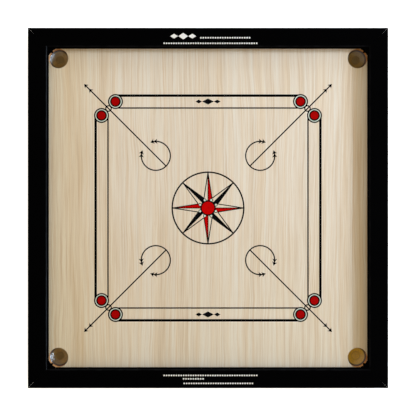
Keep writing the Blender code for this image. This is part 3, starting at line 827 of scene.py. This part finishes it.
def ring_section():
    """Round the section of a pocket ring: its flange, its sleeve and the rounded edges of both."""
    sleeve = RING_INNER_RADIUS + RING_SLEEVE_WALL
    flange = (ring_high.x - ring_low.x) / 2
    top, bottom = ring_high.z, ring_low.z
    under = top - RING_FLANGE_THICKNESS
    edge, fillet = RING_EDGE, RING_FILLET
    return [
        *shifted(arc(edge, 90, 0, 4), flange - edge, top - edge),
        *shifted(arc(edge, 0, -90, 4), flange - edge, under + edge),
        *shifted(arc(fillet, 90, 180, 5), sleeve + fillet, under - fillet),
        *shifted(arc(edge, 0, -90, 4), sleeve - edge, bottom + edge),
        (RING_INNER_RADIUS + RING_CHAMFER, bottom),
        (RING_INNER_RADIUS, bottom + RING_CHAMFER),
        *shifted(arc(edge, 180, 90, 4), RING_INNER_RADIUS + edge, top - edge),
    ]


def bag_height(radius, outer=False):
    """The height of the bag's inner or outer surface at this distance from its axis."""
    inset = 0 if outer else BAG_THICKNESS
    mouth_radius = BAG_RADIUS - inset
    drop = BAG_DEPTH - inset
    slope = (drop - BAG_LIP_DEPTH) / (mouth_radius - BAG_FLOOR_RADIUS)
    out = radius - BAG_FLOOR_RADIUS
    height = bag_high.z - drop + slope * (out + math.hypot(out, BAG_BEND)) / 2
    height -= SEAM_DEPTH * math.exp(-(((radius - SEAM_RADIUS) / SEAM_WIDTH) ** 2)) * (-1 if outer else 1)
    if not outer and radius < SEAM_RADIUS - SEAM_WIDTH:
        height += PRESSED_RING_HEIGHT * (math.cos(2 * math.pi * radius / PRESSED_RING_PITCH) - 1)
    return height


def gather(radius, degrees):
    """The rise and fall of the gathers, which fade out at the floor's seam and at the rim."""
    share = (radius - GATHER_START) / (BAG_RADIUS - BAG_THICKNESS - GATHER_START)
    if not 0 < share < 1:
        return 0.0
    return GATHER_HEIGHT * math.sin(math.pi * share) * math.cos(math.radians(BAG_GATHERS * degrees))


def bag_profile():
    """(radius, height, is gathered) from the middle of the floor, over the rim, to the middle below."""
    steps = 56
    inner_radius = BAG_RADIUS - BAG_THICKNESS
    inside = [inner_radius * step / steps for step in range(steps + 1)]
    outside = [BAG_RADIUS * step / steps for step in range(steps, -1, -1)]
    edge = BAG_THICKNESS / 2
    rim = [(x + inner_radius + edge, y + bag_high.z - edge) for x, y in arc(edge, 180, 0, 8)]
    profile = [(radius, bag_height(radius), True) for radius in inside]
    profile += [(radius, height, False) for radius, height in rim]
    return profile + [(radius, bag_height(radius, True), True) for radius in outside]


def bag_mesh():
    """The profile carried round its axis, with gathers."""
    profile = bag_profile()
    around = 6 * BAG_GATHERS
    points = []
    for radius, height, gathered in profile:
        for step in range(around):
            degrees = 360 * step / around
            rise = gather(radius, degrees) if gathered else 0.0
            points.append((*polar(radius, degrees), height + rise))
    faces = []
    for row in range(len(profile) - 1):
        for step in range(around):
            after = (step + 1) % around
            low, high = row * around, (row + 1) * around
            faces.append((low + step, low + after, high + after, high + step))
    mesh = bpy.data.meshes.new("bag")
    mesh.from_pydata(points, [], faces)
    return smooth(weld(mesh), 60)


def stitch_mesh():
    """Short arched stitches round the floor's seam."""
    stitches = []
    steps = 6
    base = bag_height(STITCH_CIRCLE) - STITCH_RADIUS / 2
    for number in range(STITCHES):
        path = []
        for step in range(steps + 1):
            share = step / steps
            degrees = 360 / STITCHES * (number + STITCH_FILL * share)
            rise = STITCH_RISE * math.sin(math.pi * share)
            path.append((*polar(STITCH_CIRCLE, degrees), base + rise))
        stitches.append(path)
    return smooth(tube_mesh("stitches", stitches, STITCH_RADIUS), 60)


def build_pockets():
    ring = smooth(turned_mesh("ring", ring_section(), closed=True))
    bag = bag_mesh()
    stitches = stitch_mesh()
    for corner, turn in CORNERS.items():
        piece("ring_" + corner, ring, NYLON, ["pocket_ring_" + corner], turn, POCKET)
        piece("bag_" + corner, bag, LEATHER, ["pocket_bag_" + corner], turn, POCKET)
        piece("bag_stitching_" + corner, stitches, THREAD, (), turn, POCKET)


# Screws


def cross_recess(face, width, depth):
    """Two crossed bars, narrower at the top, that a driver would fill, from below the head's face."""
    bars = []
    for turn in (0, 90):
        work = bmesh.new()
        grown = Matrix.Diagonal((width, width * RECESS_BLADE, 2 * depth, 1))
        bmesh.ops.create_cube(work, size=1, matrix=grown)
        for vertex in work.verts:
            if vertex.co.z > 0:
                vertex.co.x *= RECESS_TAPER[0]
                vertex.co.y *= RECESS_TAPER[1]
        bar = bpy.data.meshes.new("recess")
        work.to_mesh(bar)
        work.free()
        bar.transform(Matrix.Translation((0, 0, face)) @ Matrix.Rotation(math.radians(turn), 4, "Z"))
        bars.append(bar)
    return bars


def screw_mesh(name, profile, face, head_radius):
    mesh = turned_mesh(name, profile, steps=SCREW_STEPS)
    recess = cross_recess(face, head_radius * RECESS_WIDTH, head_radius * RECESS_DEPTH)
    return smooth(cut_away(name, mesh, recess), 35)


def batten_screw(low, high):
    """Countersunk, point up, with a slightly rounded rim."""
    head = (high.x - low.x) / 2
    edge_in, edge_up = BATTEN_SCREW_EDGE
    profile = [
        (0, high.z),
        (BATTEN_SCREW_SHANK, high.z - SCREW_POINT),
        (BATTEN_SCREW_SHANK, low.z + BATTEN_SCREW_HEAD),
        (head, low.z + BATTEN_SCREW_RIM),
        (head, low.z + edge_up),
        (head - edge_in, low.z),
        (0, low.z),
    ]
    return screw_mesh("batten_screw", profile, low.z, head)


def ring_screw(low, high):
    """Pan head below the flange, point up."""
    head = (high.x - low.x) / 2
    seat = low.z + RING_SCREW_HEAD
    wall_end = seat - RING_SCREW_WALL
    dome = []
    for step in range(8):
        angle = step * math.pi / 16
        rise = (wall_end - low.z) * math.sin(angle)
        dome.append((head * math.cos(angle), wall_end - rise))
    point = (RING_SCREW_SHANK, high.z - SCREW_POINT)
    profile = [(0, high.z), point, (RING_SCREW_SHANK, seat), (head, seat), *dome, (0, low.z)]
    return screw_mesh("ring_screw", profile, low.z, head)


def build_screws():
    kinds = {"batten_screw": batten_screw, "ring_screw": ring_screw}
    for kind, make in kinds.items():
        names = sorted(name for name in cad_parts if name.startswith(kind))
        low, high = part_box(names[0])
        mesh = make(low, high)
        for number, name in enumerate(names):
            low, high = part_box(name)
            place = ((low.x + high.x) / 2, (low.y + high.y) / 2, 0)
            item = piece("steel_" + name, mesh, STEEL, [name], 0, place)
            item.rotation_euler.z = math.radians(SCREW_TURN_DEG * number)


# Printed ink


def film(name, groups, material, stands_for=(), base=SHEET_TOP):
    """A film of ink in groups of shapes. The shapes of one group are clear of one another."""
    low, high = base - INK_SUNK, base + INK_RISE
    meshes = []
    for level, outlines in enumerate(groups):
        meshes.append(flat_mesh(name, outlines, low - level * INK_STEP, high - level * INK_STEP))
    return piece(name, stacked(name, meshes), material, stands_for)


def base_line(width, inner):
    """A base line along X whose ends are hollowed to meet the rings of the base circles."""
    low, high = BASE_LINE_REACH - width, BASE_LINE_REACH
    if inner:
        low, high = -high, -low
    steps = 10
    right = []
    for step in range(steps + 1):
        rise = low + (high - low) * step / steps
        reach = math.sqrt(max(0.0, BASE_RING_RADIUS**2 - rise**2))
        right.append((BASE_CIRCLE_ALONG - reach, BASE_CIRCLE_OUT + rise))
    return right + [(-x, y) for x, y in reversed(right)]


def arc_heads():
    heads = []
    for degrees in ARC_TIPS_DEG:
        for way in (1, -1):
            tip = shifted([polar(ARC_RADIUS, way * degrees)], ARC_CENTRE)[0]
            heads.append(arrowhead(tip, way * (degrees + ARC_HEAD_LEAN_DEG - 90)))
    return heads


def arc_band():
    start, end = ARC_START_DEG, 360 - ARC_START_DEG
    outer = arc(ARC_RADIUS + ARROW_WIDTH / 2, start, end, FINE)
    inner = arc(ARC_RADIUS - ARROW_WIDTH / 2, start, end, FINE)
    return shifted(outer + inner[::-1], ARC_CENTRE)


def base_spots():
    """The middles of the two base circles of the back side."""
    return [(way * BASE_CIRCLE_ALONG, BASE_CIRCLE_OUT) for way in (-1, 1)]


def line_groups():
    rings, outlines = [], []
    for spot in base_spots():
        rings += annulus(BASE_RING_RADIUS, BASE_RING_WIDTH, spot)
        outlines += annulus(BASE_RED_RADIUS + BASE_OUTLINE_WIDTH / 2, BASE_OUTLINE_WIDTH, spot)
    small_ring = annulus(SMALL_RING_RADIUS, SMALL_RING_WIDTH, (SMALL_RING_OUT, SMALL_RING_OUT), 48)
    shaft = strip((ARC_CENTRE - ARC_RADIUS, 0), (ARROW_TIP - HEAD_NOTCH, 0), ARROW_WIDTH)
    heads = [arrowhead((ARROW_TIP - back, 0), 0) for back in (0, ARROW_HEADS_APART)]
    return [
        on_sides(rings + outlines),
        on_sides([base_line(THICK_LINE_WIDTH, inner=False), base_line(THIN_LINE_WIDTH, inner=True)]),
        on_sides(small_ring),
        on_diagonals([shaft]),
        on_diagonals([arc_band()]),
        on_diagonals(heads + arc_heads()),
    ]


def half_ray(angle):
    """The clockwise half of a ray."""
    half_step = 180 / STAR_RAYS
    return [
        polar(STAR_RADIUS, angle),
        polar(STAR_CORNER_RADIUS, angle - half_step),
        polar(STAR_ROOT_RADIUS, angle - STAR_ROOT_DEG),
        polar(CENTRE_RING_RADIUS, angle),
    ]


def dot_spots():
    """The middles of the dots, one in each corner between two rays."""
    return [polar(STAR_DOT_CIRCLE, (ray + 0.5) * 360 / STAR_RAYS) for ray in range(STAR_RAYS)]


def star_groups():
    step = 360 / STAR_RAYS
    axes, left_edges, right_edges, black_halves = [], [], [], []
    for ray in range(STAR_RAYS):
        angle = ray * step
        tip, left_tip, right_tip = [polar(STAR_RADIUS + way * STAR_TIP_STEP, angle) for way in (1, 0, -1)]
        left = polar(STAR_CORNER_RADIUS, angle + step / 2)
        right = polar(STAR_CORNER_RADIUS, angle - step / 2)
        axes.append(strip(polar(CENTRE_RING_RADIUS, angle), tip, STAR_LINE_WIDTH))
        left_edges.append(strip(left, left_tip, STAR_LINE_WIDTH))
        right_edges.append(strip(right, right_tip, STAR_LINE_WIDTH))
        if ray % 2:
            black_halves.append(half_ray(angle))
    rim_radius = STAR_DOT_RADIUS + STAR_DOT_RIM / 2
    rims = [outline for spot in dot_spots() for outline in annulus(rim_radius, STAR_DOT_RIM, spot, 32)]
    return [
        annulus(STAR_RADIUS, STAR_RING_WIDTH, steps=2 * FINE),
        annulus(CENTRE_RING_RADIUS, CENTRE_RING_WIDTH),
        axes,
        left_edges,
        right_edges,
        black_halves,
        rims,
    ]


def build_prints():
    film("printed_lines", line_groups(), BLACK_INK, ["line_print"])
    film("printed_star", star_groups(), BLACK_INK, ["star_print"])
    lower = SHEET_TOP - UNDER_PRINT
    film("centre_red", [[circle(CENTRE_RED_RADIUS + RED_TUCK)]], RED_INK, ["centre_spot"], lower)
    halves = [half_ray(ray * 360 / STAR_RAYS) for ray in range(0, STAR_RAYS, 2)]
    film("star_red_halves", [halves], RED_INK, (), lower)
    dots = [circle(STAR_DOT_RADIUS + DOT_TUCK, spot, 32) for spot in dot_spots()]
    film("star_white_dots", [dots], WHITE_INK, (), SHEET_TOP + OVER_PRINT)
    discs = [circle(BASE_RED_RADIUS + RED_TUCK, spot) for spot in base_spots()]
    film("base_red_discs", [on_sides(discs)], DARK_RED_INK, (), lower)
    white_radius = BASE_RED_RADIUS + BASE_OUTLINE_WIDTH + BASE_WHITE_WIDTH / 2 - WHITE_TUCK
    whites = [outline for spot in base_spots() for outline in annulus(white_radius, BASE_WHITE_WIDTH, spot)]
    film("base_white_rings", [on_sides(whites)], WHITE_INK, (), lower)


def build_ornaments():
    """Plain lozenges between the base lines, and rows of white beads on the back and front rails."""
    chain = []
    for offset, length, height in LOZENGES:
        for way in (-1, 1) if offset else (1,):
            chain.append(lozenge((way * offset, BASE_CIRCLE_OUT), length, height))
    both = chain + [turned(outline, 180) for outline in chain]
    film("base_line_lozenges", [both], BLACK_INK)
    top = FRAME_HEIGHT - INK_RISE
    middle = (HALF_FIELD + RAIL_LIP_RADIUS + HALF_FRAME) / 2
    for side, rows, way in (("back", BACK_BEADS, 1), ("front", FRONT_BEADS, -1)):
        marks = []
        for drop, offset, count in rows:
            for number in range(-count, count + 1):
                marks.append(circle(BEAD_RADIUS, (offset + number * BEAD_PITCH, way * middle - drop), 16))
        if side == "back":
            for offset, length, height in RAIL_LOZENGES:
                marks.append(lozenge((offset, middle - RAIL_LOZENGE_DROP), length, height))
        film("rail_marks_" + side, [marks], FRAME_INK, (), top)


def finish_frame_nodes():
    """The battens and the splines keep the frame's shapes and get their wood."""
    for name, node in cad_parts.items():
        material = None
        if name.startswith(("edge_batten_front", "edge_batten_back", "lattice_batten_across")):
            material = BATTEN_X
        elif name.startswith(("edge_batten", "lattice_batten_along")):
            material = BATTEN_Y
        elif name.startswith("mitre_spline"):
            material = SPLINE
        if material:
            node.data.materials.clear()
            node.data.materials.append(material)


# Studio


def area_light(name, place, aim, size, power, colour):
    data = bpy.data.lights.new(name, "AREA")
    data.shape = "RECTANGLE"
    data.size, data.size_y = size
    data.energy = power
    data.color = colour
    item = in_scene(name, data)
    item.location = place
    item.rotation_euler = (Vector(aim) - Vector(place)).to_track_quat("-Z", "Y").to_euler()
    return item


def build_lights():
    """Three lights from the right, a weak one from behind, and one that only shows as a glint in the bags."""
    for name, (turn, elevation, distance, size, power, colour) in LIGHTS.items():
        reach = distance * math.cos(math.radians(elevation))
        rise = distance * math.sin(math.radians(elevation))
        place = (*polar(HALF_FIELD + reach, turn), FRAME_HEIGHT + rise)
        light = area_light(name, place, (0, 0, SHEET_TOP), size, power, colour)
        light.visible_diffuse = name != "glint"


def build_world():
    """Even warm light for what is dull, a pale horizon under a dark zenith for what shines."""
    world = bpy.data.worlds.new("studio")
    bpy.context.scene.world = world
    world.use_nodes = True
    tree = world.node_tree
    background = tree.nodes["Background"]
    paths = tree.nodes.new("ShaderNodeLightPath")
    where = tree.nodes.new("ShaderNodeTexCoord")
    split = tree.nodes.new("ShaderNodeSeparateXYZ")
    sky = tree.nodes.new("ShaderNodeValToRGB")
    for element, (position, colour) in zip(sky.color_ramp.elements, (HORIZON, ZENITH)):
        element.position = position
        element.color = (*colour, 1)
    tree.links.new(where.outputs["Generated"], split.inputs[0])
    tree.links.new(split.outputs["Z"], sky.inputs[0])
    glossy = tree.nodes.new("ShaderNodeMix")
    glossy.data_type = "RGBA"
    glossy.inputs[MIX_FIRST].default_value = (*FILL_COLOUR, 1)
    tree.links.new(paths.outputs["Is Glossy Ray"], glossy.inputs[0])
    tree.links.new(sky.outputs[0], glossy.inputs[MIX_SECOND])
    seen = tree.nodes.new("ShaderNodeMix")
    seen.data_type = "RGBA"
    seen.inputs[MIX_SECOND].default_value = (*BACKDROP, 1)
    tree.links.new(paths.outputs["Is Camera Ray"], seen.inputs[0])
    tree.links.new(glossy.outputs[MIX_RESULT], seen.inputs[MIX_FIRST])
    tree.links.new(seen.outputs[MIX_RESULT], background.inputs["Color"])


def build_floor():
    """A pale floor that glows a little, less so under the board, and that can't be seen from below."""
    work = bmesh.new()
    bmesh.ops.create_grid(work, x_segments=1, y_segments=1, size=FLOOR_HALF_WIDTH)
    mesh = bpy.data.meshes.new("floor")
    work.to_mesh(mesh)
    work.free()
    shader = Shader("pale_floor", base_color=FLOOR_COLOUR, roughness=0.9, specular_ior_level=0.1)
    x, y = [shader.maths("ABSOLUTE", value) for value in shader.split()[:2]]
    reach = shader.maths("MAXIMUM", x, y)
    glow = shader.ranged(reach, HALF_FIELD, HALF_FRAME, *FLOOR_GLOW)
    off_x, off_y = [shader.maths("SUBTRACT", value, POCKET_OFFSET) for value in (x, y)]
    squares = shader.maths("MULTIPLY_ADD", off_x, off_x, shader.maths("MULTIPLY", off_y, off_y))
    shade = shader.ranged(shader.maths("SQRT", squares), *POCKET_SHADE, 0.03, 1.0)
    inside = shader.maths("LESS_THAN", reach, HALF_FRAME)
    glow = shader.mix(inside, glow, shader.maths("MULTIPLY", glow, shade))
    shader.set("Emission Color", (1.0, 1.0, 1.0))
    shader.set("Emission Strength", glow)
    shader.set("Alpha", shader.maths("SUBTRACT", 1.0, shader.geometry("Backfacing")))
    mesh.materials.append(shader.material)
    floor = in_scene("floor", mesh)
    floor.location.z = -FLOOR_DROP


def build_camera():
    """Straight above the middle of the board."""
    data = bpy.data.cameras.new("camera")
    data.sensor_width = CAMERA_SENSOR_MM
    data.lens = CAMERA_LENS_MM
    camera = in_scene("camera", data)
    camera.location = (0, 0, SHEET_TOP + CAMERA_HEIGHT)
    bpy.context.scene.camera = camera
    bpy.context.scene.view_settings.view_transform = "Standard"


build_playing_board()
build_rails()
build_corner_blocks()
build_pockets()
build_screws()
build_prints()
build_ornaments()
finish_frame_nodes()
build_lights()
build_world()
build_floor()
build_camera()
